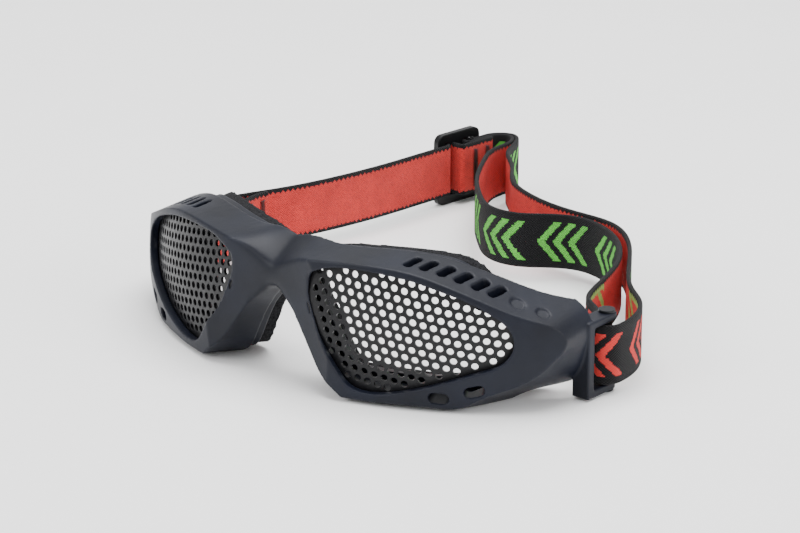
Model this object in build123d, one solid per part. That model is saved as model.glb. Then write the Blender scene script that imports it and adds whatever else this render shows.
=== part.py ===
"""Wrap-around protective goggles with perforated steel lenses and an elastic headband.

Millimetres. The origin lies on the table, in the plane of symmetry, at the front of the nose
bridge. +X is the left of the wearer, +Y points from the lenses to the back of the head, +Z is up.
"""
import os
from math import asin, cos, degrees, hypot, radians, sin, sqrt, tan

from build123d import *

# ---- driving dimensions -------------------------------------------------------------------
FRAME_WIDTH = 182.0         # over both temple blocks
FRAME_HEIGHT = 47.3         # table to the top of the brow
WRAP_ANGLE = 50.2           # half of the arc that the frame wraps round the face, degrees

RIM_RISE = 3.0              # rim face in front of the outer face of a lens
RIM_DEPTH = 6.1             # thickness of the rim that holds a lens
FRONT_DEPTH = 14.5          # depth of the front frame, front to back
REAR_DEPTH = 3.4            # depth of the rear frame behind it
SKIRT_WALL = 4.5            # wall of the front frame behind the rim
REAR_WALL = 6.0             # width of the rear frame's ring
BLOCK_END = 56.0            # where the temple blocks stop

LENS_GAUGE = 1.0            # steel sheet of a lens
LENS_SEAT = 1.2             # how far the sheet reaches into the groove of the rim
LENS_TILT = 24.0            # draw direction of a lens aperture, degrees outwards
GROOVE_PLAY = 0.1           # groove round the sheet, each side
HOLE_DIAMETER = 2.3
HOLE_PITCH = 3.4
ROW_SLOPE = -11.8           # slope of the rows of holes, degrees
HOLE_MARGIN = 0.5           # least steel between a hole and the edge of the sheet

SLOT_LENGTH = 8.0           # brow vents
SLOT_WIDTH = 2.7
SLOT_LEAN = 90.0            # long axis of a brow vent, degrees from straight across the face
DIMPLE_DIAMETERS = (6.2, 5.4)
DIMPLE_DEPTH = 0.9
DIMPLE_LIE = (-24, 20, 0)   # turn of a dimple's axis out of the vertical, degrees
SADDLE_SETBACK = 4.0        # front of the nose bridge behind the origin
VENT_LENGTH = 6.6           # lower vents
VENT_HEIGHT = 3.6
VENT_DEPTH = 9.0

FOAM_DEPTH = 5.0
FOAM_WALL = 5.0
REAR_INSET = 1.5            # rear frame inside the outline of the front frame
FOAM_INSET = 2.3            # foam inside the same outline
FOAM_SPLIT = 0.2            # gap between the two foam gaskets on the plane of symmetry

BAR_DIAMETER = 3.8          # pins that carry the headband
BAR_INSET = 3.5             # bar axis inside the widest point of the frame
BAR_SETBACK = 10.0          # bar axis behind the temple block
BAR_HEAD_DIAMETER = 5.4
BAR_HEAD_HEIGHT = 0.9
ARM_WIDTH = 6.4
ARM_HEIGHT = 2.4
ARM_REACH = 3.2             # arm behind the bar axis
PLATE_THICKNESS = 3.2       # end plate of a temple block

STRAP_WIDTH = 20.0
STRAP_GAUGE = 1.5
STRAP_PLAY = 0.5            # between an edge of the headband and an arm
LOOP_RADIUS = 5.3           # centre line of a loop round its bar
LEAD = 3.0                  # straight webbing beyond each end of the slider
BEND = 1.6                  # bend of the running webbing in the slider, on its centre line
TACK_LENGTH = 9.0           # sewn bar tacks
TACK_WIDTH = 15.0
TACK_THICKNESS = 0.3
TACK_INSET = 1.5            # tack short of the end of the webbing
TACK_STEPS = 4
TACK_GAP = 0.05             # between two layers that are sewn together
OFFSET_STEP = 5.0           # spacing of the points that a curved face of the webbing goes through

SLIDER_GAUGE = 2.4
SLIDER_LENGTH = 22.0
SLIDER_RAIL = 3.4
SLIDER_BAR = 3.0            # outer bars of the slider
SLIDER_CENTRE_BAR = 3.0
SLIDER_CORNER = 3.0
SLIDER_SETBACK = 121.0      # slider centre behind the bars
SLIDER_SIDE = 73.8          # slider centre from the plane of symmetry
WEB_CLEARANCE = 0.3         # between the webbing and the slider, and between layers

# ---- what follows from them ------------------------------------------------------------------
HALF_WIDTH = FRAME_WIDTH / 2
RIM_RADIUS = HALF_WIDTH / sin(radians(WRAP_ANGLE))
LENS_RADIUS = RIM_RADIUS - RIM_RISE
RIM_BACK_RADIUS = RIM_RADIUS - RIM_DEPTH
PARTING_RADIUS = RIM_RADIUS - FRONT_DEPTH
SEAL_RADIUS = PARTING_RADIUS - REAR_DEPTH
WIDE = FRAME_WIDTH / 182.0      # the outlines below are drawn at 182 x 47.3
TALL = FRAME_HEIGHT / 47.3
CENTRE = Vector(0, RIM_RADIUS - 2.0, 15.7 * TALL)

STRAP_HEIGHT = (STRAP_WIDTH + 2 * (WEB_CLEARANCE + SLIDER_RAIL)) / 2    # middle of the webbing
BAR_X = HALF_WIDTH - BAR_INSET
BAR_Y = BLOCK_END + BAR_SETBACK
WINDOW = STRAP_WIDTH / 2 + STRAP_PLAY
SLIDER_AT = Vector(-SLIDER_SIDE, BAR_Y + SLIDER_SETBACK, STRAP_HEIGHT)
RUN = Vector(0.0885, 0.9961, 0)         # direction of the single run of the headband
ACROSS = Vector(0.9961, -0.0885, 0)     # square to it, towards the other side of the head
FACE_GAP = SLIDER_GAUGE / 2 + WEB_CLEARANCE + STRAP_GAUGE / 2       # webbing on a face of the slider
LAYER = STRAP_GAUGE + WEB_CLEARANCE
CROSSING = (SLIDER_LENGTH / 2 - SLIDER_BAR + SLIDER_CENTRE_BAR / 2 + LAYER) / 2

# Outline of the frame, top middle to bottom middle: front edge, then back edge (x, y, z).
BRIDGE = [
    ((0, 4.5, 38.0), (0, 13.5, 44.0)),
    ((7, 3.9, 40.6), (6, 15.5, 44.6)),
    ((14, 3.0, 43.3), (12, 18.0, 45.2)),
]
REAR_BRIDGE = [
    ((0, 4.5, 43.5), (0, 14.3, 44.3)),
    ((7, 3.9, 43.8), (6, 15.5, 44.6)),
    ((14, 3.0, 44.5), (12, 18.0, 45.2)),
]
BROW = [
    ((24, 4.0, 45.2), (22, 21.5, 46.4)),
    ((34, 7.2, 45.9), (32.5, 25.6, 47.3)),
    ((44, 11.2, 45.6), (42, 28.6, 47.1)),
    ((52, 15.0, 44.4), (50, 31.4, 46.0)),
    ((60, 19.0, 41.8), (58, 34.3, 43.5)),
    ((68, 23.5, 38.4), (67, 38.5, 39.7)),
]
TEMPLE = [
    ((76, 28.9, 34.4), (74.6, 42.9, 35.8)),
    ((84, 35.4, 30.8), (83, 47.6, 32.0)),
    ((89.2, 39.5, 27.6), (88.4, 52.0, 28.6)),
    ((91, 42.0, 23.0), (90.2, 54.0, 23.6)),
    ((91.4, 42.5, 18.0), (90.6, 55.0, 17.6)),
    ((90.6, 42.5, 12.6), (89.8, 54.0, 11.2)),
    ((85.5, 37.0, 9.9), (85, 50.0, 7.0)),
    ((78, 28.5, 9.0), (77, 40.0, 5.8)),
]
FACE_SIDE = [
    ((75, 28.0, 34.0), (75, 42.0, 34.0)),
    ((79, 28.0, 30.0), (79, 42.0, 30.0)),
    ((80.5, 28.0, 21.0), (80.5, 42.0, 21.0)),
    ((78.5, 28.0, 12.0), (78.5, 42.0, 11.0)),
]
REAR_SIDE = [
    ((69, 24.0, 36.6), (68, 39.0, 35.4)),
    ((76.5, 28.0, 29.6), (76, 42.0, 28.4)),
    ((79.5, 28.0, 21.0), (79.5, 42.0, 20.4)),
    ((78, 28.0, 12.0), (78, 42.0, 11.0)),
]
CHEEK = [
    ((70, 22.0, 4.6), (70, 36.0, 1.5)),
    ((63, 17.5, 2.0), (63, 31.0, 0.0)),
    ((52, 12.5, 1.4), (52, 24.5, -0.3)),
    ((40, 7.2, 1.3), (40, 19.0, -0.3)),
    ((20, 3.0, 1.2), (20, 15.0, -0.3)),
    ((0, 2.0, 1.2), (0, 14.0, -0.3)),
]
FRONT_OUTLINE = BRIDGE + BROW + TEMPLE + CHEEK
FRONT_HOLLOW = BRIDGE + BROW + FACE_SIDE + CHEEK
REAR_OUTLINE = REAR_BRIDGE + BROW[:-1] + REAR_SIDE + CHEEK
# Nose opening, from below the cheek up to the top of the arch.
NOSE = [
    ((37, 5.5, -4.5), (35, 17.0, -5.5)),
    ((30, 4.2, 0.8), (27.5, 15.5, -0.8)),
    ((25.2, 3.9, 4.2), (22, 15.0, 1.6)),
    ((20.3, 3.8, 9.0), (17.2, 15.0, 6.2)),
    ((16.4, 3.9, 15.1), (13, 15.5, 13.0)),
    ((12.6, 4.3, 20.8), (9.6, 15.5, 19.0)),
    ((8.6, 4.8, 26.2), (6.2, 15.2, 24.6)),
    ((4.0, 5.1, 30.3), (3.2, 14.5, 28.4)),
    ((0, 5.2, 31.6), (0, 14.0, 29.6)),
]
# Headband in plan. Right run and its sewn tail start from the right bar, the legs are absolute.
FAR_RUN = [(-4.6, 14.0), (0.6, 29.0), (5.6, 43.0), (9.6, 60.0), (12.6, 80.0)]
FAR_TAIL = [(2.4, 15.5)]
FAR_LEAN = -19.0
BACK_LEG = [
    (-63.2, 207.3), (-56.2, 200.5), (-51.4, 190.0), (-41.0, 179.0), (-26.1, 161.5), (-13.0, 153.8), (0, 149.6),
    (15.0, 147.9), (29.5, 146.2), (40.5, 139.4), (52.0, 126.5), (64.0, 109.5), (75.0, 96.5), (84.5, 88.0),
]
FRONT_LEG = [
    (78.5, 73.0), (70.0, 79.5), (65.6, 88.0), (60.8, 102.0), (54.9, 115.8), (47.5, 127.0), (38.5, 135.8),
    (28.5, 141.6), (17.5, 143.6), (7.5, 139.6), (-1.5, 133.6), (-12.5, 132.9), (-26.0, 142.2),
    (-38.4, 155.5), (-50.5, 174.0), (-57.2, 190.0), (-58.2, 200.0), (-63.2, 205.4),
]
# Visible edge of a lens in the front view (x, z), from the inner top corner outwards.
APERTURE = [
    (18.0, 41.3), (24.0, 43.4), (33.0, 44.0), (43.0, 43.3), (50.0, 42.2), (57.0, 40.1),
    (65.9, 36.6), (72.3, 32.6), (76.6, 28.3), (78.0, 23.6), (75.4, 17.0), (69.3, 13.8),
    (63.1, 11.2), (54.3, 7.8), (45.0, 5.1), (37.4, 4.2), (32.2, 5.6), (28.7, 9.5),
    (25.4, 14.4), (21.8, 20.1), (19.0, 26.6), (17.0, 31.8), (16.4, 37.0),
]
SLOTS = [(45.6, 20.0), (50.4, 22.2), (55.4, 24.6), (60.3, 27.2), (65.0, 29.9), (69.4, 32.7)]
DIMPLES = [(76.2, 35.2, 35.9), (82.6, 39.8, 33.0)]
VENTS = [((58.6, 18.0, 4.9), -3.0), ((68.6, 22.9, 7.7), 14.0)]


# ---- helpers -----------------------------------------------------------------------------------
def scaled(point):
    """A drawn point at the real width and height of the frame."""
    x, y, z = point
    return Vector(x * WIDE, y * WIDE, z * TALL)


def both_sides(half):
    """A half outline and its mirror image as one closed run of point pairs."""
    flip = [tuple((-x, y, z) for x, y, z in pair) for pair in half if pair[0][0] > 0]
    return half + flip[::-1]


def inset(points, distance):
    """Move the points of a closed outline inwards, square to their neighbours."""
    moved = []
    for i, point in enumerate(points):
        ahead = points[(i + 1) % len(points)]
        behind = points[i - 1]
        dx, dz = ahead.X - behind.X, ahead.Z - behind.Z
        size = hypot(dx, dz)
        moved.append(Vector(point.X - distance * -dz / size, point.Y, point.Z - distance * dx / size))
    return moved


def section(pairs, depth, distance, closed):
    """The outline of a tapering tunnel in the plane Y = depth."""
    points = []
    for front, back in pairs:
        front, back = scaled(front), scaled(back)
        share = (depth - front.Y) / (back.Y - front.Y)
        point = front + (back - front) * share
        points.append(Vector(point.X, depth, point.Z))
    points = inset(points, distance) if distance else points
    if closed:
        return Wire([Spline(*points, periodic=True)])
    return Wire([Spline(*points), Line(points[-1], points[0])])


def tunnel(pairs, near, far, distance=0.0, closed=True):
    """Solid between two depths whose sides run through a front edge and a back edge."""
    ends = [section(pairs, depth, distance, closed) for depth in (near, far)]
    return Solid.make_loft(ends, True)


def ball(radius):
    """Sphere about the centre that every face of the frame shares."""
    return Pos(*CENTRE) * Sphere(radius)


def half_space(x0, x1, y0, y1, z0, z1):
    """Box between two corners."""
    return Pos((x0 + x1) / 2, (y0 + y1) / 2, (z0 + z1) / 2) * Box(x1 - x0, y1 - y0, z1 - z0)


def on_lens(x, z, radius):
    """Point of a face of the given radius that shows at x and z in the front view."""
    level = sqrt(radius**2 - (z - CENTRE.Z) ** 2)
    return Vector(x, CENTRE.Y - sqrt(level**2 - x**2), z)


def lens_plane():
    """Plane through the common centre, square to the draw direction of the left lens."""
    tilt = radians(LENS_TILT)
    return Plane(origin=CENTRE, x_dir=(cos(tilt), sin(tilt), 0), z_dir=(sin(tilt), -cos(tilt), 0))


def lens_outline(distance):
    """Outline of the left lens in its own plane, grown by a distance."""
    plane = lens_plane()
    local = []
    for x, z in APERTURE:
        flat = plane.to_local_coords(on_lens(x * WIDE, z * TALL, LENS_RADIUS))
        local.append(Vector(flat.X, 0, flat.Y))
    grown = inset(local, -distance) if distance else local
    return [(p.X, p.Z) for p in grown]


def lens_prism(distance, inner, outer):
    """The lens outline as a prism along the draw direction, cut to two radii."""
    edge = Spline(*[(u, v) for u, v in lens_outline(distance)], periodic=True)
    prism = lens_plane() * extrude(make_face(Wire([edge])), RIM_RADIUS + 10)
    return (prism & ball(outer)) - ball(inner)


def mirrored(shape):
    """The same shape on the other side of the face."""
    return mirror(shape, about=Plane.YZ)


# ---- frame ---------------------------------------------------------------------------------------
LEFT_HALF = half_space(0, 200, -50, 300, 0, 100)


def half_body(outline, front, back, narrower=0.0):
    """Left half of a ring blank between two radii, before it is hollowed."""
    body = tunnel(both_sides(outline), -8, BLOCK_END + 10, narrower) & LEFT_HALF
    return (body & ball(front)) - ball(back)


def hollowed(blank, outline, wall, hollow_front, grow=0.0):
    """Hollow a blank behind a radius and open the nose, with a wall round both."""
    inside = tunnel(both_sides(outline), -8, BLOCK_END + 10, grow + wall)
    nose = tunnel(mirror_run(NOSE), -8, 34, -grow, closed=False)
    nose_outside = tunnel(mirror_run(NOSE), -8, 34, -grow - wall, closed=False)
    nose_wall = blank & (nose_outside - nose)
    return blank - (inside & ball(hollow_front)) - nose + nose_wall


def mirror_run(half):
    """An open run of point pairs from the right side over the middle to the left side."""
    flip = [tuple((-x, y, z) for x, y, z in pair) for pair in half[:-1]]
    return flip + half[::-1]


def slot(at):
    """One slanted vent through the top of the brow."""
    x, y = at
    shape = Rot(0, 0, SLOT_LEAN) * SlotOverall(SLOT_LENGTH, SLOT_WIDTH)
    return Pos(x * WIDE, y * WIDE, 30 * TALL) * extrude(shape, 30 * TALL)


def openings():
    """Cutters of the left brow vents, the two dimples and the two lower vents."""
    cuts = [slot(at) for at in SLOTS]
    for point, diameter in zip(DIMPLES, DIMPLE_DIAMETERS):
        lie = Rot(*DIMPLE_LIE) * Cylinder(diameter / 2, 2 * DIMPLE_DEPTH)
        cuts.append(Pos(*scaled(point)) * lie)
    for point, lean in VENTS:
        at = scaled(point)
        turn = degrees(asin(at.X / RIM_RADIUS))
        shape = extrude(SlotOverall(VENT_LENGTH, VENT_HEIGHT), VENT_DEPTH, both=True)
        cuts.append(Pos(*at) * Rot(0, 0, turn) * Rot(90, 0, 0) * Rot(0, 0, lean) * shape)
    return cuts


def temple_bracket():
    """End plate of the left temple block and the two arms that carry the strap bar."""
    low, high = STRAP_HEIGHT - WINDOW - ARM_HEIGHT, STRAP_HEIGHT + WINDOW + ARM_HEIGHT
    left, right = BAR_X - ARM_WIDTH / 2, BAR_X + ARM_WIDTH / 2
    bracket = half_space(left, right, BLOCK_END - PLATE_THICKNESS, BLOCK_END, low, high)
    for z in (low, high - ARM_HEIGHT):
        bracket += half_space(left, right, BLOCK_END - PLATE_THICKNESS, BAR_Y, z, z + ARM_HEIGHT)
        bracket += Pos(BAR_X, BAR_Y, z + ARM_HEIGHT / 2) * Cylinder(ARM_REACH, ARM_HEIGHT)
    return bracket - Pos(BAR_X, BAR_Y, STRAP_HEIGHT) * Cylinder(BAR_DIAMETER / 2, 4 * WINDOW)


def front_frame():
    """Moulded front: rim, brow, cheeks, nose arch and temple blocks in one piece."""
    blank = half_body(FRONT_OUTLINE, RIM_RADIUS, PARTING_RADIUS)
    frame = hollowed(blank, FRONT_HOLLOW, SKIRT_WALL, RIM_BACK_RADIUS)
    saddle = Pos(0, SADDLE_SETBACK - RIM_RADIUS, CENTRE.Z) * Cylinder(RIM_RADIUS, 200)
    frame -= saddle
    frame -= half_space(-200, 200, BLOCK_END, 300, -50, 100)
    frame -= lens_prism(0, RIM_BACK_RADIUS - 4, RIM_RADIUS + 5)
    sheet_back = LENS_RADIUS - LENS_GAUGE
    frame -= lens_prism(LENS_SEAT + GROOVE_PLAY, sheet_back - GROOVE_PLAY, LENS_RADIUS + GROOVE_PLAY)
    for cut in openings():
        frame -= cut
    frame += temple_bracket()
    return frame + mirrored(frame)


def rear_frame():
    """Ring behind the front frame that carries the foam."""
    ring = half_body(REAR_OUTLINE, PARTING_RADIUS, SEAL_RADIUS, REAR_INSET)
    ring = hollowed(ring, REAR_OUTLINE, REAR_WALL, RIM_RADIUS, REAR_INSET)
    return ring + mirrored(ring)


def foam_gasket():
    """Left half of the foam that seals the frame to the face."""
    blank = half_body(REAR_OUTLINE, SEAL_RADIUS, SEAL_RADIUS - FOAM_DEPTH, FOAM_INSET)
    foam = hollowed(blank, REAR_OUTLINE, FOAM_WALL, RIM_RADIUS, FOAM_INSET)
    return foam & half_space(FOAM_SPLIT / 2, 200, -50, 300, FOAM_INSET, 100)


# ---- lenses --------------------------------------------------------------------------------------
def inside_outline(u, v, outline):
    """Whether a point lies inside a closed outline."""
    inside = False
    for (u0, v0), (u1, v1) in zip(outline, outline[1:] + outline[:1]):
        if (v0 > v) != (v1 > v) and u < (u1 - u0) * (v - v0) / (v1 - v0) + u0:
            inside = not inside
    return inside


def hole_places():
    """Centres of the holes of the left lens, in staggered rows round its middle."""
    margin = HOLE_DIAMETER / 2 + HOLE_MARGIN - LENS_SEAT
    edge = lens_outline(-margin)
    middle = lens_plane().to_local_coords(on_lens(49.8 * WIDE, 31.7 * TALL, LENS_RADIUS))
    slope = radians(ROW_SLOPE)
    row_step = HOLE_PITCH * sqrt(3) / 2
    places = []
    for row in range(-14, 15):
        for column in range(-16, 17):
            along = (column + (row % 2) / 2) * HOLE_PITCH
            up = row * row_step
            u = middle.X + along * cos(slope) - up * sin(slope)
            v = middle.Y + along * sin(slope) + up * cos(slope)
            if inside_outline(u, v, edge):
                places.append((u, v))
    return places


def mesh_lens():
    """Left lens: a domed steel sheet with round holes in staggered rows."""
    sheet = lens_prism(LENS_SEAT, LENS_RADIUS - LENS_GAUGE, LENS_RADIUS)
    plane = lens_plane()
    drill = Cylinder(HOLE_DIAMETER / 2, 4 * LENS_GAUGE)
    drills = []
    for u, v in hole_places():
        rise = sqrt(LENS_RADIUS**2 - u * u - v * v)
        at = plane.from_local_coords(Vector(u, v, rise))
        drills.append(Plane(origin=at, z_dir=at - CENTRE) * drill)
    return sheet - drills


# ---- headband ------------------------------------------------------------------------------------
def strap_bar():
    """Pin through the arms of the left temple bracket, headed at both ends."""
    reach = WINDOW + ARM_HEIGHT
    pin = Cylinder(BAR_DIAMETER / 2, 2 * reach)
    for end in (-1, 1):
        head = Cylinder(BAR_HEAD_DIAMETER / 2, BAR_HEAD_HEIGHT)
        pin += Pos(0, 0, end * (reach + BAR_HEAD_HEIGHT / 2)) * head
    return Pos(BAR_X, BAR_Y, STRAP_HEIGHT) * pin


def at_slider(run, across):
    """Plan point given along the single run and across it, from the slider's centre."""
    return Vector(SLIDER_AT.X, SLIDER_AT.Y) + RUN * run + ACROSS * across


def bent(points, radius):
    """Straight edges through plan points, joined by arcs, in order."""
    edges, start = [], points[0]
    for before, corner, after in zip(points, points[1:], points[2:]):
        back, ahead = (before - corner).normalized(), (after - corner).normalized()
        half_turn = radians(back.get_angle(ahead)) / 2
        reach = radius / tan(half_turn)
        first, last = corner + back * reach, corner + ahead * reach
        bisector = (back + ahead).normalized()
        middle = corner + bisector * (radius / sin(half_turn) - radius)
        edges += [Line(start, first), ThreePointArc(first, middle, last)]
        start = last
    return edges + [Line(start, points[-1])]


def weave():
    """Webbing through the slider: over a bar, under the centre bar and its loop, over a bar."""
    half = SLIDER_LENGTH / 2 + LEAD
    under = -FACE_GAP - LAYER
    points = [(-half, FACE_GAP), (-CROSSING, FACE_GAP), (-CROSSING, under),
              (CROSSING, under), (CROSSING, FACE_GAP), (half, FACE_GAP)]
    return bent([at_slider(*p) for p in points], BEND)


def sewn_loop():
    """End of the webbing: round the centre bar and back on itself."""
    beside = SLIDER_CENTRE_BAR / 2 + WEB_CLEARANCE + STRAP_GAUGE / 2
    over = FACE_GAP + LAYER
    tail = over + STRAP_GAUGE + TACK_GAP
    points = [(SLIDER_LENGTH / 2 + LEAD, over), (beside, over), (beside, -FACE_GAP),
              (-beside, -FACE_GAP), (-beside, tail), (SLIDER_LENGTH / 2 + LEAD - 1, tail)]
    return bent([at_slider(*p) for p in points], WEB_CLEARANCE + STRAP_GAUGE / 2)


def bar_loop(x, first, last):
    """Webbing round the front of a bar, from one side of it to the other."""
    bottom = (x, BAR_Y - LOOP_RADIUS)
    return ThreePointArc((x + first * LOOP_RADIUS, BAR_Y), bottom, (x + last * LOOP_RADIUS, BAR_Y))


def smooth(points, lead_in, lead_out):
    """Curve through plan points with given directions at its ends."""
    travelled = [0.0]
    for before, after in zip(points, points[1:]):
        travelled.append(travelled[-1] + (after - before).length)
    return Edge.make_spline(points, [lead_in, lead_out], parameters=travelled, scale=False)


def run_between(start, points, end, lead_in, lead_out):
    """Smooth stretch of webbing from one plan point to another through the given ones."""
    return smooth([start] + [Vector(*p) for p in points] + [end], lead_in, lead_out)


def band_edges():
    """Centre line of the headband in plan, from its end at the right bar to its end at the slider."""
    far_loop = bar_loop(-BAR_X, 1, -1)
    through = weave()
    near_loop = bar_loop(BAR_X, 1, -1)
    sewn = sewn_loop()
    back, ahead = Vector(0, -1), Vector(0, 1)
    far_run = [Vector(-BAR_X + x, BAR_Y + y) for x, y in FAR_RUN]
    tail_start = far_run[1] + Vector(cos(radians(FAR_LEAN)), sin(radians(FAR_LEAN))) * (STRAP_GAUGE + TACK_GAP)
    tail = [Vector(-BAR_X + x, BAR_Y + y) for x, y in FAR_TAIL]
    lean = Vector(sin(radians(FAR_LEAN)), -cos(radians(FAR_LEAN)))
    edges = [run_between(tail_start, tail, far_loop @ 0, lean, back), far_loop]
    edges.append(run_between(far_loop @ 1, far_run, through[0] @ 0, ahead, RUN))
    edges += through
    edges.append(run_between(through[-1] @ 1, BACK_LEG, near_loop @ 0, RUN, back))
    edges.append(near_loop)
    edges.append(run_between(near_loop @ 1, FRONT_LEG, sewn[0] @ 0, ahead, -RUN))
    return edges + sewn


def beside(edge, distance):
    """A plan edge moved sideways, to the left of its direction."""
    def moved(share):
        along = edge % share
        return edge @ share + Vector(-along.Y, along.X) * distance
    if edge.geom_type == GeomType.LINE:
        return Line(moved(0), moved(1))
    if edge.geom_type == GeomType.CIRCLE:
        return ThreePointArc(moved(0), moved(0.5), moved(1))
    steps = max(6, round(edge.length / OFFSET_STEP))
    return smooth([moved(i / steps) for i in range(steps + 1)], edge % 0, edge % 1)


def headband():
    """One length of flat webbing on edge, thickened along its centre line."""
    edges = band_edges()
    left = [beside(edge, STRAP_GAUGE / 2) for edge in edges]
    right = [beside(edge, -STRAP_GAUGE / 2) for edge in edges]
    caps = [Line(left[0] @ 0, right[0] @ 0), Line(left[-1] @ 1, right[-1] @ 1)]
    plan = make_face(Wire(left + right + caps))
    return Pos(0, 0, STRAP_HEIGHT - STRAP_WIDTH / 2) * extrude(plan, STRAP_WIDTH)


def tack(edge, first, last, side):
    """Bar tack sewn on one face of a webbing end, between two shares of its length."""
    near, far = [], []
    for i in range(TACK_STEPS + 1):
        share = first + (last - first) * i / TACK_STEPS
        along = edge % share
        out = Vector(-along.Y, along.X) * side
        near.append(edge @ share + out * (STRAP_GAUGE / 2))
        far.append(edge @ share + out * (STRAP_GAUGE / 2 + TACK_THICKNESS))
    plan = make_face(Polyline(*near, *far[::-1], close=True))
    return Pos(0, 0, STRAP_HEIGHT - TACK_WIDTH / 2) * extrude(plan, TACK_WIDTH)


def tack_slider():
    """Tack that closes the loop round the slider's centre bar."""
    tail = band_edges()[-1]
    return tack(tail, 1 - (TACK_LENGTH + TACK_INSET) / tail.length, 1 - TACK_INSET / tail.length, -1)


def tack_right():
    """Tack that closes the loop round the right strap bar."""
    tail = band_edges()[0]
    return tack(tail, TACK_INSET / tail.length, (TACK_LENGTH + TACK_INSET) / tail.length, 1)


def slider():
    """Flat slider with two windows on either side of a centre bar."""
    height = STRAP_WIDTH + 2 * (WEB_CLEARANCE + SLIDER_RAIL)
    window = (SLIDER_LENGTH - 2 * SLIDER_BAR - SLIDER_CENTRE_BAR) / 2
    plate = RectangleRounded(SLIDER_LENGTH, height, SLIDER_CORNER)
    for side in (-1, 1):
        hole = RectangleRounded(window, height - 2 * SLIDER_RAIL, 0.8)
        plate -= Pos(side * (SLIDER_CENTRE_BAR + window) / 2, 0) * hole
    plane = Plane(origin=SLIDER_AT, x_dir=RUN, z_dir=ACROSS * -1)
    return plane * extrude(plate, SLIDER_GAUGE / 2, both=True)


PARTS = {
    "front_frame": front_frame,
    "rear_frame": rear_frame,
    "foam_gasket_left": foam_gasket,
    "mesh_lens_left": mesh_lens,
    "strap_bar_left": strap_bar,
    "headband": headband,
    "tack_right": tack_right,
    "tack_slider": tack_slider,
    "slider": slider,
}

if __name__ == "__main__":
    os.makedirs("parts", exist_ok=True)
    for name, make in PARTS.items():
        part = make()
        export_step(part, f"parts/{name}.step")
        if name.endswith("_left"):
            export_step(mirrored(part), f"parts/{name.replace('_left', '_right')}.step")
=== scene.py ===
"""Sports protective goggles: looks, lights and camera on top of the shared frame. Lengths in metres."""

import math

import bpy
import numpy as np
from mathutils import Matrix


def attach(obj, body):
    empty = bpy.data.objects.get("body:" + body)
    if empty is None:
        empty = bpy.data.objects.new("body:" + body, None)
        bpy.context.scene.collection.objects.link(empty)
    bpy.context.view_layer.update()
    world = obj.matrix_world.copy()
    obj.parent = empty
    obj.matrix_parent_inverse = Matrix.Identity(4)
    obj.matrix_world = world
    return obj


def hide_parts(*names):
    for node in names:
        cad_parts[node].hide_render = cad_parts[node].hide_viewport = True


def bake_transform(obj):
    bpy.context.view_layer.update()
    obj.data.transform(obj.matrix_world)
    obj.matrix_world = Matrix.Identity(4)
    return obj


MM = 0.001

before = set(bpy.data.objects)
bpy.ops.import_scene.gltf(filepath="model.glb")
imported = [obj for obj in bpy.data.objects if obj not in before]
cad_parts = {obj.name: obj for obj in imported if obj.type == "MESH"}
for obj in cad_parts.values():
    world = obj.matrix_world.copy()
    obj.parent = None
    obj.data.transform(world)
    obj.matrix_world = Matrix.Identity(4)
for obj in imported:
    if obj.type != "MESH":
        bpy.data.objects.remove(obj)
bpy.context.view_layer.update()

# Headband, in millimetres: a flat webbing that stands on edge and follows one path in the floor plane.
STRAP_HEIGHT = 13.7
STRAP_WIDTH = 20.0
STRAP_GAUGE = 1.5
BAR_X = 87.5
BAR_Y = 66.0
LOOP_RADIUS = 5.3
SLIDER_AT = np.array([-73.8, 187.0])
RUN = np.array([0.08852, 0.99607])
ACROSS = np.array([0.99607, -0.08852])
WEAVE_BEND = 1.6
SEWN_BEND = 1.05
STEP = 0.7
LONGEST_STEP = 0.9
SAME_POINT = 1e-4
TURN_POINTS = 25
BEND_POINTS = 7
TANGENT_REACH = 0.25

# Y at which the webbing fully follows the frame, the band and the slider.
FOLLOWS_BAND = 95.0

# The UV map keeps the outer face this far above the inner face.
OUTER_FACE = 2.0
UV_SHARE = 0.998

# Bar-tack stitches.
TACK_ENDS = (1.5, 10.5)
TACK_INSET = 1.3
TACK_REACH = 7.2
TACK_PITCH = 0.2
TACK_SWING = 1.1
THREAD_RADIUS = 0.17
THREAD_LIFT = 0.12

# Dimples beside the brow vents: centre and radius in millimetres, mirrored on the other side.
DIMPLES = [((76.2, 35.2, 35.9), 2.5), ((82.6, 39.8, 33.0), 2.2)]
DIMPLE_DEPTH = 0.6 * MM

# Remeshed copies of CAD nodes, in metres, with passes of smoothing.
SHELL_VOXEL, SHELL_PASSES = 0.0003, 8
FOAM_VOXEL, FOAM_PASSES = 0.0006, 6
SADDLE = ((0, 0.007, 0.038), 0.018, 420)
ZONE_RINGS = 10


def at_slider(run, across):
    """Point in the floor plane, from the slider's own directions."""
    return SLIDER_AT + run * RUN + across * ACROSS


def curve(points, start, end):
    """Smooth run through points that leaves along start and arrives along end."""
    p = np.array(points, float)
    h = np.linalg.norm(np.diff(p, axis=0), axis=1)
    n = len(p)
    system = np.eye(n)
    right = np.zeros((n, 2))
    right[0] = start
    right[-1] = end
    for i in range(1, n - 1):
        system[i, i - 1 : i + 2] = (1 / h[i - 1], 2 / h[i - 1] + 2 / h[i], 1 / h[i])
        right[i] = 3 * ((p[i] - p[i - 1]) / h[i - 1] ** 2 + (p[i + 1] - p[i]) / h[i] ** 2)
    slope = np.linalg.solve(system, right)
    out = []
    for i in range(n - 1):
        t = np.linspace(0, 1, max(3, int(h[i] / STEP) + 2))[:-1, None]
        out.append(
            (2 * t**3 - 3 * t**2 + 1) * p[i]
            + (t**3 - 2 * t**2 + t) * h[i] * slope[i]
            + (3 * t**2 - 2 * t**3) * p[i + 1]
            + (t**3 - t**2) * h[i] * slope[i + 1]
        )
    return np.vstack([*out, p[-1:]])


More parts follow.
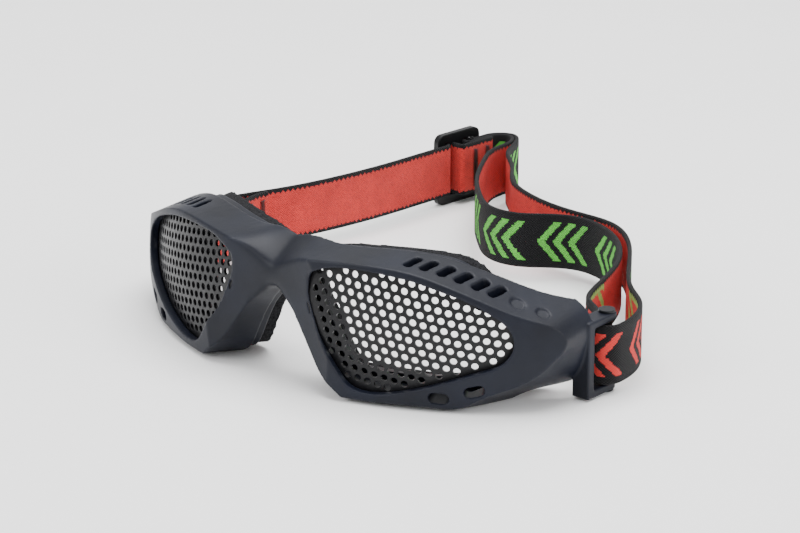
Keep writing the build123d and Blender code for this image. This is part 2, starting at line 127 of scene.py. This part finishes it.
def loop(side):
    """Half turn round a strap bar, travelling clockwise seen from above."""
    a = np.radians(np.linspace(0, -180, TURN_POINTS))
    return np.array([side * BAR_X, BAR_Y]) + LOOP_RADIUS * np.column_stack([np.cos(a), np.sin(a)])


def bends(points, radius):
    """Straight runs between points with rounded corners."""
    p = np.array(points, float)
    out = [p[0]]
    for a, b, c in zip(p[:-2], p[1:-1], p[2:]):
        u, v = (a - b) / np.linalg.norm(a - b), (c - b) / np.linalg.norm(c - b)
        half = math.acos(np.clip(u @ v, -1, 1)) / 2
        reach = radius / math.tan(half)
        centre = b + (u + v) / np.linalg.norm(u + v) * radius / math.sin(half)
        first, last = b + u * reach - centre, b + v * reach - centre
        turn = math.atan2(first[0] * last[1] - first[1] * last[0], first @ last)
        for t in np.linspace(0, turn, BEND_POINTS):
            x = first[0] * math.cos(t) - first[1] * math.sin(t)
            y = first[0] * math.sin(t) + first[1] * math.cos(t)
            out.append(centre + np.array([x, y]))
    out.append(p[-1])
    return np.array(out)


# At the slider the route is given from its middle: along the run, then across it.
CLEAR = 14
OUTSIDE, INSIDE, END_BAR = 2.25, -4.05, 5.65
SEWN_OUTSIDE, SEWN_INSIDE, MIDDLE_BAR = 4.05, -2.25, 2.55
SEWN_BACK, SEWN_END = 5.6, 13

# The route of the webbing from its sewn end at the right bar to its sewn end at the slider.
TO_REAR = (0, 1)
TO_FRONT = (0, -1)
TAIL_LEAVES = (-0.326, -0.946)
FAR_TAIL = [(-85.43, 94.5), (-85.1, 81.5), (-82.2, 66)]
FAR_RUN = [
    (-92.8, 66), (-92.1, 80), (-86.9, 95), (-81.9, 109), (-77.9, 126), (-74.9, 146),
    at_slider(-CLEAR, OUTSIDE),
]
WEAVE = [
    (-CLEAR, OUTSIDE), (-END_BAR, OUTSIDE), (-END_BAR, INSIDE),
    (END_BAR, INSIDE), (END_BAR, OUTSIDE), (CLEAR, OUTSIDE),
]
BACK_LEG = [
    at_slider(CLEAR, OUTSIDE),
    (-63.2, 207.3), (-56.2, 200.5), (-51.4, 190.0), (-41.0, 179.0), (-26.1, 161.5),
    (-13.0, 153.8), (0, 149.6), (15.0, 147.9), (29.5, 146.2), (40.5, 139.4),
    (52.0, 126.5), (64.0, 109.5), (75.0, 96.5), (84.5, 88.0), (92.8, 66),
]
FRONT_LEG = [
    (82.2, 66), (78.5, 73.0), (70.0, 79.5), (65.6, 88.0), (60.8, 102.0), (54.9, 115.8),
    (47.5, 127.0), (38.5, 135.8), (28.5, 141.6), (17.5, 143.6), (7.5, 139.6), (-1.5, 133.6),
    (-12.5, 132.9), (-26.0, 142.2), (-38.4, 155.5), (-50.5, 174.0), (-57.2, 190.0),
    (-58.2, 200.0), (-63.2, 205.4), at_slider(CLEAR, SEWN_OUTSIDE),
]
SEWN = [
    (CLEAR, SEWN_OUTSIDE), (MIDDLE_BAR, SEWN_OUTSIDE), (MIDDLE_BAR, SEWN_INSIDE),
    (-MIDDLE_BAR, SEWN_INSIDE), (-MIDDLE_BAR, SEWN_BACK), (SEWN_END, SEWN_BACK),
]


def path():
    """Whole centre line of the webbing, with the distance along it."""
    runs = [
        curve(FAR_TAIL, TAIL_LEAVES, TO_FRONT),
        loop(-1),
        curve(FAR_RUN, TO_REAR, RUN),
        bends([at_slider(*q) for q in WEAVE], WEAVE_BEND),
        curve(BACK_LEG, RUN, TO_FRONT),
        loop(1),
        curve(FRONT_LEG, TO_REAR, -RUN),
        bends([at_slider(*q) for q in SEWN], SEWN_BEND),
    ]
    line = np.vstack(runs)
    line = line[np.r_[True, np.linalg.norm(np.diff(line, axis=0), axis=1) > SAME_POINT]]
    return line, np.r_[0, np.cumsum(np.linalg.norm(np.diff(line, axis=0), axis=1))]


LINE, ALONG = path()
LENGTH = ALONG[-1]


def place(s, across, height):
    """Points of the webbing in metres, from a distance along it, an offset to its left and a height."""
    x, y = np.interp(s, ALONG, LINE[:, 0]), np.interp(s, ALONG, LINE[:, 1])
    ahead, behind = s + TANGENT_REACH, s - TANGENT_REACH
    tx = np.interp(ahead, ALONG, LINE[:, 0]) - np.interp(behind, ALONG, LINE[:, 0])
    ty = np.interp(ahead, ALONG, LINE[:, 1]) - np.interp(behind, ALONG, LINE[:, 1])
    n = np.hypot(tx, ty)
    z = np.full_like(x, STRAP_HEIGHT) + height
    return np.column_stack([x - ty / n * across, y + tx / n * across, z]) * MM


def mesh_object(name, points, faces, uv=None):
    mesh = bpy.data.meshes.new(name)
    mesh.from_pydata([tuple(p) for p in points], [], faces)
    if uv is not None:
        mesh.uv_layers.new(name="UVMap").data.foreach_set("uv", np.array(uv, np.float32).ravel())
    mesh.shade_smooth()
    mesh.update()
    obj = bpy.data.objects.new(name, mesh)
    bpy.context.scene.collection.objects.link(obj)
    return obj


def section():
    """Section of the webbing as (offset to the left, height), anticlockwise, with rounded selvedges."""
    half, edge = STRAP_GAUGE / 2, STRAP_WIDTH / 2
    selvedge = half * 0.8
    rise = np.linspace(-1, 1, 13) * (edge - selvedge)
    turn = np.radians([60, 30, 0, -30, -60])
    left = [(half, h) for h in rise]
    right = [(-half, h) for h in rise[::-1]]
    crown = [(half * math.sin(t), rise[-1] + selvedge * math.cos(t)) for t in turn]
    foot = [(-half * math.sin(t), -rise[-1] - selvedge * math.cos(t)) for t in turn]
    return np.array([*left, *crown, *right, *foot])


def webbing(name, first, last):
    """One length of the headband between two distances along it."""
    margin = 0.05
    inner = ALONG[(ALONG > first + margin) & (ALONG < last - margin)]
    stops = np.r_[first, inner, last]
    fine = [stops[0]]
    for a in stops[1:]:
        parts = max(1, int(math.ceil((a - fine[-1]) / LONGEST_STEP)))
        fine += list(np.linspace(fine[-1], a, parts + 1)[1:])
    s = np.array(fine)
    profile = section()
    k = len(profile)
    points = np.stack([place(s, q[0], q[1]) for q in profile], 1)
    faces, uv = [], []
    for i in range(len(s) - 1):
        for j in range(k):
            m = (j + 1) % k
            faces.append((i * k + j, i * k + m, (i + 1) * k + m, (i + 1) * k + j))
            face = OUTER_FACE if profile[j][0] + profile[m][0] > 0 else 0.0
            for row, col in ((i, j), (i, m), (i + 1, m), (i + 1, j)):
                uv.append((s[row] / STRAP_WIDTH, profile[col][1] / STRAP_WIDTH * UV_SHARE + 0.5 + face))
    for row, order in ((0, range(k - 1, -1, -1)), (len(s) - 1, range(k))):
        faces.append(tuple(row * k + j for j in order))
        uv += [(s[row] / STRAP_WIDTH, profile[j][1] / STRAP_WIDTH * 0.5 + 0.5) for j in order]
    return mesh_object(name, points.reshape(-1, 3), faces, uv)


def tube(points, radius, sides=6):
    """Vertices and faces of a closed round thread through points."""
    p = np.array(points)
    d = np.gradient(p, axis=0)
    d /= np.linalg.norm(d, axis=1)[:, None]
    ring = []
    for q, t in zip(p, d):
        a = np.cross(t, (0.31, 0.52, 0.79))
        a /= np.linalg.norm(a)
        b = np.cross(t, a)
        for i in range(sides):
            w = 2 * math.pi * i / sides
            ring.append(q + radius * (math.cos(w) * a + math.sin(w) * b))
    faces = []
    for row in range(0, (len(p) - 1) * sides, sides):
        for j in range(sides):
            k = (j + 1) % sides
            faces.append((row + j, row + k, row + sides + k, row + sides + j))
    faces += [tuple(range(sides - 1, -1, -1)), tuple(range((len(p) - 1) * sides, len(p) * sides))]
    return ring, faces


def bar_tack(name, first, last, side):
    """Two dense zigzag rows of thread that sew a webbing end down."""
    points, faces = [], []
    out = side * (STRAP_GAUGE / 2 + THREAD_LIFT)
    for s in (first + TACK_INSET, last - TACK_INSET):
        h = np.arange(-TACK_REACH, TACK_REACH + 0.01, TACK_PITCH)
        swing = np.where(np.arange(len(h)) % 2, TACK_SWING, -TACK_SWING)
        row = place(s + swing, out, h)
        ring, quads = tube(row, THREAD_RADIUS * MM)
        base = len(points)
        points += ring
        faces += [tuple(base + v for v in f) for f in quads]
    return mesh_object(name, points, faces)


class Shader:
    """A principled material and short ways to add nodes to it."""

    def __init__(self, name):
        self.material = bpy.data.materials.new(name)
        self.material.use_nodes = True
        self.tree = self.material.node_tree
        self.bsdf = self.tree.nodes["Principled BSDF"]

    def put(self, socket, value):
        """Link a socket, or give it a plain value."""
        if isinstance(value, bpy.types.NodeSocket):
            self.tree.links.new(value, socket)
        else:
            socket.default_value = value

    def set(self, **values):
        """Inputs of the principled node, with underscores for the spaces in their names."""
        for key, value in values.items():
            self.put(self.bsdf.inputs[key.replace("_", " ")], value)

    def node(self, kind, **settings):
        n = self.tree.nodes.new(kind)
        for key, value in settings.items():
            setattr(n, key, value)
        return n

    def math(self, operation, *values):
        n = self.node("ShaderNodeMath", operation=operation)
        for socket, value in zip(n.inputs, values):
            self.put(socket, value)
        return n.outputs[0]

    def coords(self):
        return self.node("ShaderNodeTexCoord").outputs["Object"]

    def noise(self, scale, detail=2.0, rough=0.5):
        n = self.node("ShaderNodeTexNoise")
        self.put(n.inputs["Vector"], self.coords())
        n.inputs["Scale"].default_value = scale
        n.inputs["Detail"].default_value = detail
        n.inputs["Roughness"].default_value = rough
        return n.outputs["Fac"]

    def span(self, value, low, high, to_low, to_high):
        """Value moved from the range low to high to the range to_low to to_high."""
        n = self.node("ShaderNodeMapRange")
        for socket, v in zip(n.inputs, (value, low, high, to_low, to_high)):
            self.put(socket, v)
        return n.outputs[0]

    def mix(self, share, a, b):
        """Colour a where the share is 0 and colour b where it is 1."""
        factor, colour_a, colour_b, colour_out = 0, 6, 7, 2
        n = self.node("ShaderNodeMix", data_type="RGBA")
        self.put(n.inputs[factor], share)
        self.put(n.inputs[colour_a], a)
        self.put(n.inputs[colour_b], b)
        return n.outputs[colour_out]

    def bump(self, height, strength, distance, normal=None):
        n = self.node("ShaderNodeBump")
        n.inputs["Strength"].default_value = strength
        n.inputs["Distance"].default_value = distance
        self.put(n.inputs["Height"], height)
        if normal is not None:
            self.put(n.inputs["Normal"], normal)
        return n.outputs[0]

    def rounded(self, radius):
        """Normal with edges rounded to a radius."""
        n = self.node("ShaderNodeBevel", samples=6)
        n.inputs["Radius"].default_value = radius
        return n.outputs[0]

    def edge(self, rounded):
        """1 on rounded edges, which are painted lighter as a highlight, 0 on flat faces."""
        flat = self.node("ShaderNodeNewGeometry").outputs["Normal"]
        dot = self.node("ShaderNodeVectorMath", operation="DOT_PRODUCT")
        self.put(dot.inputs[0], flat)
        self.put(dot.inputs[1], rounded)
        return self.span(dot.outputs["Value"], 0.995, 0.86, 0.0, 1.0)


def colour(r, g, b):
    return (r, g, b, 1.0)


def moulded(name, base, light, roughness, radius):
    """Matt moulded plastic with a fine spark-eroded grain and softened, slightly polished edges, painted
    lighter as a highlight.
    """
    sh = Shader(name)
    soft = sh.rounded(radius)
    edge = sh.edge(soft)
    cloud = sh.noise(scale=45.0, detail=3.0)
    tone = sh.mix(sh.span(cloud, low=0.35, high=0.7, to_low=0.0, to_high=0.55), base, light)
    edge_highlight, edge_polish, grain_share, patchiness = 0.55, 0.06, 0.8, 0.10
    # Rounded edges are painted lighter, toward the light colour: a painted highlight.
    sh.set(Base_Color=sh.mix(sh.math("MULTIPLY", edge, edge_highlight), tone, light))
    fine = sh.noise(scale=3800.0, detail=2.0, rough=0.6)
    broad = sh.noise(scale=900.0, detail=2.0, rough=0.5)
    height = sh.math("ADD", fine, sh.math("MULTIPLY", broad, grain_share))
    sh.set(Normal=sh.bump(height, strength=0.35, distance=0.00006, normal=soft))
    patch = sh.noise(scale=160.0, detail=3.0)
    patch = sh.math("ADD", sh.math("MULTIPLY", patch, patchiness), roughness - patchiness / 2)
    sh.set(Roughness=sh.math("SUBTRACT", patch, sh.math("MULTIPLY", edge, edge_polish)))
    sh.bsdf.inputs["IOR"].default_value = 1.45
    sh.bsdf.inputs["Specular IOR Level"].default_value = 0.26
    return sh.material


def painted_steel():
    """Perforated sheet with a baked black paint and a painted highlight on the edges of its holes."""
    sh = Shader("painted_steel")
    soft = sh.rounded(0.00018)
    edge = sh.edge(soft)
    # Edges of the holes are painted lighter grey: a painted highlight on the strands.
    paint_black, highlight_grey, edge_highlight = colour(0.004, 0.004, 0.005), colour(0.03, 0.032, 0.038), 0.5
    sh.set(Base_Color=sh.mix(sh.math("MULTIPLY", edge, edge_highlight), paint_black, highlight_grey))
    patch = sh.noise(scale=700.0, detail=3.0)
    sh.set(Roughness=sh.span(patch, low=0.3, high=0.7, to_low=0.30, to_high=0.46))
    grain = sh.noise(scale=1800.0, detail=3.0, rough=0.6)
    sh.set(Normal=sh.bump(grain, strength=0.25, distance=0.00005, normal=soft))
    sh.bsdf.inputs["Specular IOR Level"].default_value = 0.25
    return sh.material


def foam():
    """Open-cell foam: dark, dry and full of small pores."""
    sh = Shader("open_cell_foam")
    pores = sh.node("ShaderNodeTexVoronoi", feature="F1")
    sh.put(pores.inputs["Vector"], sh.coords())
    pores.inputs["Scale"].default_value = 1500.0
    cell = sh.span(pores.outputs["Distance"], low=0.15, high=0.6, to_low=0.0, to_high=1.0)
    # Pores are painted darker towards their middles: painted shade in the holes of the foam.
    sh.set(Base_Color=sh.mix(cell, colour(0.002, 0.002, 0.0025), colour(0.011, 0.011, 0.013)))
    sh.set(Roughness=sh.span(cell, low=0.0, high=1.0, to_low=0.98, to_high=0.8))
    lump_share = 0.8
    lumps = sh.noise(scale=500.0, detail=3.0)
    height = sh.math("ADD", cell, sh.math("MULTIPLY", lumps, lump_share))
    sh.set(Normal=sh.bump(height, strength=0.8, distance=0.0003))
    sh.bsdf.inputs["Specular IOR Level"].default_value = 0.15
    return sh.material


def elastic(loop_at):
    """Woven elastic: coral inner face with black selvedges, black outer face with a woven chevron motif."""
    pick_step, warp_step, cord_pitch, pick_pitch = 0.5, 0.45, 0.9, 1.0
    selvedge_from, motif_to, fleck_from = 8.6, 6.9, 6.7
    repeat, bar_half = 24.0, 1.4
    loop_reach, tail_length = 46.0, 34.0
    black, coral = colour(0.004, 0.004, 0.005), colour(0.80, 0.052, 0.044)
    green, olive = colour(0.14, 0.62, 0.08), colour(0.36, 0.55, 0.12)

    # Millimetres along the webbing and across it, and which face this is.
    sh = Shader("woven_elastic")
    uv = sh.node("ShaderNodeSeparateXYZ")
    sh.put(uv.inputs[0], sh.node("ShaderNodeUVMap", uv_map="UVMap").outputs[0])
    outer = sh.math("GREATER_THAN", uv.outputs["Y"], OUTER_FACE - 0.5)
    x = sh.math("MULTIPLY", uv.outputs["X"], STRAP_WIDTH)
    share = sh.math("SUBTRACT", uv.outputs["Y"], sh.math("MULTIPLY", outer, OUTER_FACE))
    y = sh.math("MULTIPLY", sh.math("SUBTRACT", share, 0.5), STRAP_WIDTH)
    away = sh.math("ABSOLUTE", y)
    pick = sh.math("SNAP", x, pick_step)
    warp = sh.math("SNAP", away, warp_step)

    # One random value for each yarn.
    cell = sh.node("ShaderNodeCombineXYZ")
    sh.put(cell.inputs[0], sh.math("DIVIDE", pick, pick_step))
    sh.put(cell.inputs[1], sh.math("DIVIDE", sh.math("SNAP", y, warp_step), warp_step))
    yarn = sh.node("ShaderNodeTexWhiteNoise", noise_dimensions="2D")
    sh.put(yarn.inputs["Vector"], cell.outputs[0])
    stray = yarn.outputs["Value"]

    # Selvedges and chevrons with ragged woven edges.
    ragged = sh.math("ADD", warp, sh.math("MULTIPLY", sh.math("SUBTRACT", stray, 0.5), 0.3))
    saw = sh.math("MULTIPLY", sh.math("PINGPONG", pick, 1.0), 0.7)
    selvedge = sh.math("GREATER_THAN", sh.math("ADD", ragged, saw), selvedge_from)
    slant = sh.math("ADD", pick, sh.math("MULTIPLY", warp, 0.85))
    wave = sh.math("MODULO", sh.math("ADD", slant, sh.math("MULTIPLY", stray, 0.35)), repeat)
    first = sh.math("LESS_THAN", wave, 2 * bar_half)
    second = sh.math("COMPARE", wave, 7.0, bar_half)
    third = sh.math("COMPARE", wave, 12.6, bar_half)
    chevrons = sh.math("MAXIMUM", first, sh.math("MAXIMUM", second, third))
    motif = sh.math("MULTIPLY", chevrons, sh.math("LESS_THAN", warp, motif_to))
    near_loop = sh.math("COMPARE", x, loop_at, loop_reach)

    # Colour of the outer face, with coral marks near the left bar and a coral tail at the right one.
    mark = sh.mix(near_loop, green, coral)
    tail_face = sh.math("SUBTRACT", 1.0, selvedge)
    tail = sh.math("MULTIPLY", sh.math("LESS_THAN", x, tail_length), tail_face)
    outside = sh.mix(tail, sh.mix(motif, black, mark), coral)

    # Colour of the inner face, where the motif shows through near the left bar.
    border = sh.math("GREATER_THAN", ragged, fleck_from)
    fleck = sh.math("MULTIPLY", near_loop, sh.math("MAXIMUM", motif, border))
    ground = sh.mix(fleck, coral, olive)
    speck = sh.math("GREATER_THAN", stray, 0.72)
    ground = sh.mix(sh.math("MULTIPLY", speck, 0.16), ground, black)
    inside = sh.mix(selvedge, ground, black)
    face = sh.mix(outer, inside, outside)
    shade = sh.span(sh.noise(scale=120.0, detail=4.0), low=0.3, high=0.75, to_low=0.0, to_high=0.22)
    face = sh.mix(shade, face, black)

    # Relief of the weave, with its hollows painted darker as painted shade.
    cords = sh.math("SINE", sh.math("MULTIPLY", y, 2 * math.pi / cord_pitch))
    picks = sh.math("SINE", sh.math("MULTIPLY", x, 2 * math.pi / pick_pitch))
    basket = sh.math("MULTIPLY", cords, picks)
    hollow_shade = sh.span(basket, low=-1.0, high=0.6, to_low=0.20, to_high=0.0)
    sh.set(Base_Color=sh.mix(hollow_shade, face, black))
    fuzz = sh.noise(scale=2600.0, detail=3.0, rough=0.7)
    height = sh.math("ADD", basket, sh.math("MULTIPLY", fuzz, 1.1))
    sh.set(Normal=sh.bump(height, strength=1.0, distance=0.00026))
    sh.set(Roughness=sh.span(fuzz, low=0.3, high=0.7, to_low=0.78, to_high=0.95))
    sh.bsdf.inputs["Sheen Weight"].default_value = 0.06
    sh.bsdf.inputs["Sheen Roughness"].default_value = 0.5
    sh.bsdf.inputs["Specular IOR Level"].default_value = 0.15
    return sh.material


def thread():
    """Twisted sewing thread."""
    sh = Shader("sewing_thread")
    twist = sh.node("ShaderNodeTexWave", bands_direction="DIAGONAL")
    sh.put(twist.inputs["Vector"], sh.coords())
    twist.inputs["Scale"].default_value = 2200.0
    groove = twist.outputs["Fac"]
    # The grooves of the twist are painted darker: painted shade.
    sh.set(Base_Color=sh.mix(groove, colour(0.02, 0.02, 0.022), colour(0.07, 0.07, 0.075)))
    sh.set(Normal=sh.bump(groove, strength=0.5, distance=0.0001))
    sh.set(Roughness=sh.span(sh.noise(scale=900.0), low=0.3, high=0.7, to_low=0.5, to_high=0.7))
    sh.bsdf.inputs["Sheen Weight"].default_value = 0.2
    return sh.material


def dress(obj, mat):
    obj.data.materials.clear()
    obj.data.materials.append(mat)


def paint(node, mat):
    """A better material on a CAD node that stays."""
    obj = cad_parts[node]
    if not obj.material_slots:
        obj.data.materials.append(mat)
    for material_slot in obj.material_slots:
        material_slot.material = mat
    return obj


def crossing(first, last, y, rising):
    """Distance along the webbing, between two distances, where it crosses a line of constant Y."""
    inside = (ALONG >= first) & (ALONG <= last)
    s, line = ALONG[inside], LINE[inside, 1]
    order = slice(None) if rising else slice(None, None, -1)
    return float(np.interp(y, line[order], s[order]))


def at_bar(side):
    """Distance along the webbing of the foremost point of the loop round a strap bar."""
    x, y = LINE[:, 0] - side * BAR_X, LINE[:, 1] - (BAR_Y - LOOP_RADIUS)
    return float(ALONG[np.argmin(np.hypot(x, y))])


def applied(obj):
    """Replace an object's mesh with its modified form."""
    graph = bpy.context.evaluated_depsgraph_get()
    mesh = bpy.data.meshes.new_from_object(obj.evaluated_get(graph))
    obj.modifiers.clear()
    obj.data = mesh
    return mesh


def eased(obj, passes, group=""):
    """Add smoothing, over the whole object or over one vertex group."""
    ease = obj.modifiers.new("ease", "SMOOTH")
    ease.factor = 0.5
    ease.iterations = passes
    ease.vertex_group = group


def baked(source, name, voxel, smooth, blended=None):
    """Copy of a CAD node with a fresh even mesh and rounded edges.

    Blended is one softer zone: its middle, its radius and its passes of smoothing.
    """
    copy = bpy.data.objects.new(name, source.data.copy())
    copy.matrix_world = source.matrix_world.copy()
    bpy.context.scene.collection.objects.link(copy)
    remesh = copy.modifiers.new("remesh", "REMESH")
    remesh.mode = "VOXEL"
    remesh.voxel_size = voxel
    eased(copy, smooth)
    mesh = applied(copy)
    if blended:
        middle, radius, passes = blended
        spots = np.empty(len(mesh.vertices) * 3)
        mesh.vertices.foreach_get("co", spots)
        away = np.linalg.norm(spots.reshape(-1, 3) - middle, axis=1) / radius
        zone = copy.vertex_groups.new(name="zone")
        for step in range(1, ZONE_RINGS + 1):
            ring = np.where((away < 1) & (np.ceil((1 - away) * ZONE_RINGS) == step))[0]
            zone.add(ring.tolist(), step / ZONE_RINGS, "REPLACE")
        eased(copy, passes, "zone")
        mesh = applied(copy)
    mesh.shade_smooth()
    return copy


def dimple(mesh, centre, radius):
    """Press a round, flat-bottomed dimple into the skin at a point."""
    brim, skin_to, reach_in = radius * 1.15, radius * 1.9, 0.0014
    slope, fade = radius * 0.3, radius * 0.12
    spots = np.empty(len(mesh.vertices) * 3)
    normals = np.empty(len(mesh.vertices) * 3)
    mesh.vertices.foreach_get("co", spots)
    mesh.vertices.foreach_get("normal", normals)
    spots, normals = spots.reshape(-1, 3), normals.reshape(-1, 3)
    near = np.linalg.norm(spots - centre, axis=1)
    skin = (near < skin_to) & (near > brim) & (normals[:, 2] > 0.3)
    axis = normals[skin].mean(0)
    axis /= np.linalg.norm(axis)
    level = np.median((spots[skin] - centre) @ axis)
    height = (spots - centre) @ axis
    out = np.linalg.norm(spots - centre - height[:, None] * axis, axis=1)
    inside = (out < brim) & (np.abs(height - level) < reach_in) & (normals @ axis > 0)
    share = np.clip((brim - out[inside]) / slope, 0, 1)
    share = share * share * (3 - 2 * share)
    target = level - DIMPLE_DEPTH * share
    blend_in = np.clip((brim - out[inside]) / fade, 0, 1)
    spots[inside] += ((target - height[inside]) * blend_in)[:, None] * axis
    mesh.vertices.foreach_set("co", spots.ravel())
    mesh.update()


# The front frame becomes a softened shell; lenses, bars, slider and rear frame keep their CAD shapes.
PLASTIC = moulded(
    "satin_polymer", colour(0.0028, 0.0037, 0.0080), colour(0.0080, 0.0108, 0.0220),
    roughness=0.44, radius=0.0007,
)
BAR_PLASTIC = moulded(
    "bar_polymer", colour(0.0035, 0.004, 0.0055), colour(0.010, 0.012, 0.017),
    roughness=0.36, radius=0.0004,
)
BUCKLE = moulded(
    "slider_polymer", colour(0.003, 0.003, 0.0035), colour(0.010, 0.010, 0.012),
    roughness=0.30, radius=0.0006,
)
STEEL = painted_steel()
paint("rear_frame", PLASTIC)
shell = baked(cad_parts["front_frame"], "front_shell", SHELL_VOXEL, SHELL_PASSES, SADDLE)
for side in (-1, 1):
    for centre, radius in DIMPLES:
        dimple(shell.data, np.array(centre) * (side, 1, 1) * MM, radius * MM)
dress(shell, PLASTIC)
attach(shell, "frame")
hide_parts("front_frame")
for piece in ("mesh_lens_left", "mesh_lens_right"):
    paint(piece, STEEL)
for piece in ("strap_bar_left", "strap_bar_right"):
    paint(piece, BAR_PLASTIC)
paint("slider", BUCKLE)

# Foam gaskets.
FOAM = foam()
for side in ("left", "right"):
    pad = baked(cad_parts["foam_gasket_" + side], "foam_pad_" + side, FOAM_VOXEL, FOAM_PASSES)
    dress(pad, FOAM)
    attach(pad, "frame")
    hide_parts("foam_gasket_" + side)

# Headband.
LOOP_AT = at_bar(1)
FAR_AT = at_bar(-1)
ELASTIC = elastic(LOOP_AT)
CUT_RUN = crossing(FAR_AT, FAR_AT + 90, FOLLOWS_BAND, True)
CUT_BACK = crossing(LOOP_AT - 60, LOOP_AT, FOLLOWS_BAND, False)
CUT_FRONT = crossing(LOOP_AT, LOOP_AT + 60, FOLLOWS_BAND, True)
LENGTHS = {
    "strap_loop_right": (0.0, CUT_RUN),
    "strap_loop_left": (CUT_BACK, CUT_FRONT),
    "strap_back": (CUT_RUN, CUT_BACK),
    "strap_front": (CUT_FRONT, LENGTH),
}
for name, (first, last) in LENGTHS.items():
    length = webbing(name, first, last)
    dress(length, ELASTIC)
    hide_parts("headband")
    if "loop" in name:
        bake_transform(length)
    else:
        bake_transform(length)

# Stitches.
THREAD = thread()
stitches = bar_tack("stitches_right", TACK_ENDS[0], TACK_ENDS[1], 1)
dress(stitches, THREAD)
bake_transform(stitches)
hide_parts("tack_right")
stitches = bar_tack("stitches_slider", LENGTH - TACK_ENDS[1], LENGTH - TACK_ENDS[0], -1)
dress(stitches, THREAD)
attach(stitches, "slider")
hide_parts("tack_slider")


# Floor, lights and camera.
def floor():
    """A plain pale studio floor."""
    sh = Shader("studio_floor")
    tone = sh.noise(scale=6.0, detail=2.0)
    sh.set(Base_Color=sh.mix(tone, colour(0.86, 0.86, 0.865), colour(0.9, 0.9, 0.9)))
    sh.set(Roughness=sh.span(sh.noise(scale=30.0), low=0.3, high=0.7, to_low=0.7, to_high=0.8))
    half = 4.0
    outline = [(-half, -half, 0), (half, -half, 0), (half, half, 0), (-half, half, 0)]
    ground = mesh_object("studio_ground", outline, [(0, 1, 2, 3)])
    dress(ground, sh.material)


def lamp(name, at, aim, size, power):
    """A soft rectangular light at a point, facing another point."""
    light = bpy.data.lights.new(name, "AREA")
    light.shape = "RECTANGLE"
    light.size, light.size_y = size
    light.energy = power
    obj = bpy.data.objects.new(name, light)
    bpy.context.scene.collection.objects.link(obj)
    obj.location = at
    direction = np.array(aim, float) - np.array(at, float)
    yaw = math.atan2(direction[1], direction[0])
    pitch = math.atan2(direction[2], math.hypot(direction[0], direction[1]))
    obj.rotation_euler = (math.pi / 2 + pitch, 0, yaw - math.pi / 2)


floor()
MIDDLE = (0, 0.1, 0.02)
lamp("top_softbox", (0.0, 0.25, 1.3), MIDDLE, (1.1, 1.1), 34.0)
lamp("front_softbox", (-0.6, -1.2, 0.9), MIDDLE, (0.8, 0.8), 13.0)
lamp("side_softbox", (1.3, 0.1, 0.6), MIDDLE, (0.7, 0.7), 9.0)

world = bpy.data.worlds.new("studio")
bpy.context.scene.world = world
world.use_nodes = True
sky = world.node_tree.nodes["Background"]
sky.inputs["Color"].default_value = colour(1.0, 1.0, 1.0)
sky.inputs["Strength"].default_value = 0.95

# The camera stands off from the target by a distance, moved sideways and up in its own picture plane.
AZIMUTH = math.radians(40.417)
ELEVATION = math.radians(19.17)
TARGET = (0, 0, 0.0157)
DISTANCE, TO_RIGHT, TO_TOP = 1.014036, 0.043697, 0.022369
back = np.array([
    math.sin(AZIMUTH) * math.cos(ELEVATION),
    -math.cos(AZIMUTH) * math.cos(ELEVATION),
    math.sin(ELEVATION),
])
right = np.array([math.cos(AZIMUTH), math.sin(AZIMUTH), 0])
up = np.cross(back, right)
camera = bpy.data.cameras.new("camera")
camera.lens = 142.2
camera.sensor_width = 36.0
eye = bpy.data.objects.new("camera", camera)
bpy.context.scene.collection.objects.link(eye)
eye.location = DISTANCE * back + TO_RIGHT * right + TO_TOP * up + np.array(TARGET)
eye.rotation_euler = (math.pi / 2 - ELEVATION, 0, AZIMUTH)
bpy.context.scene.camera = eye
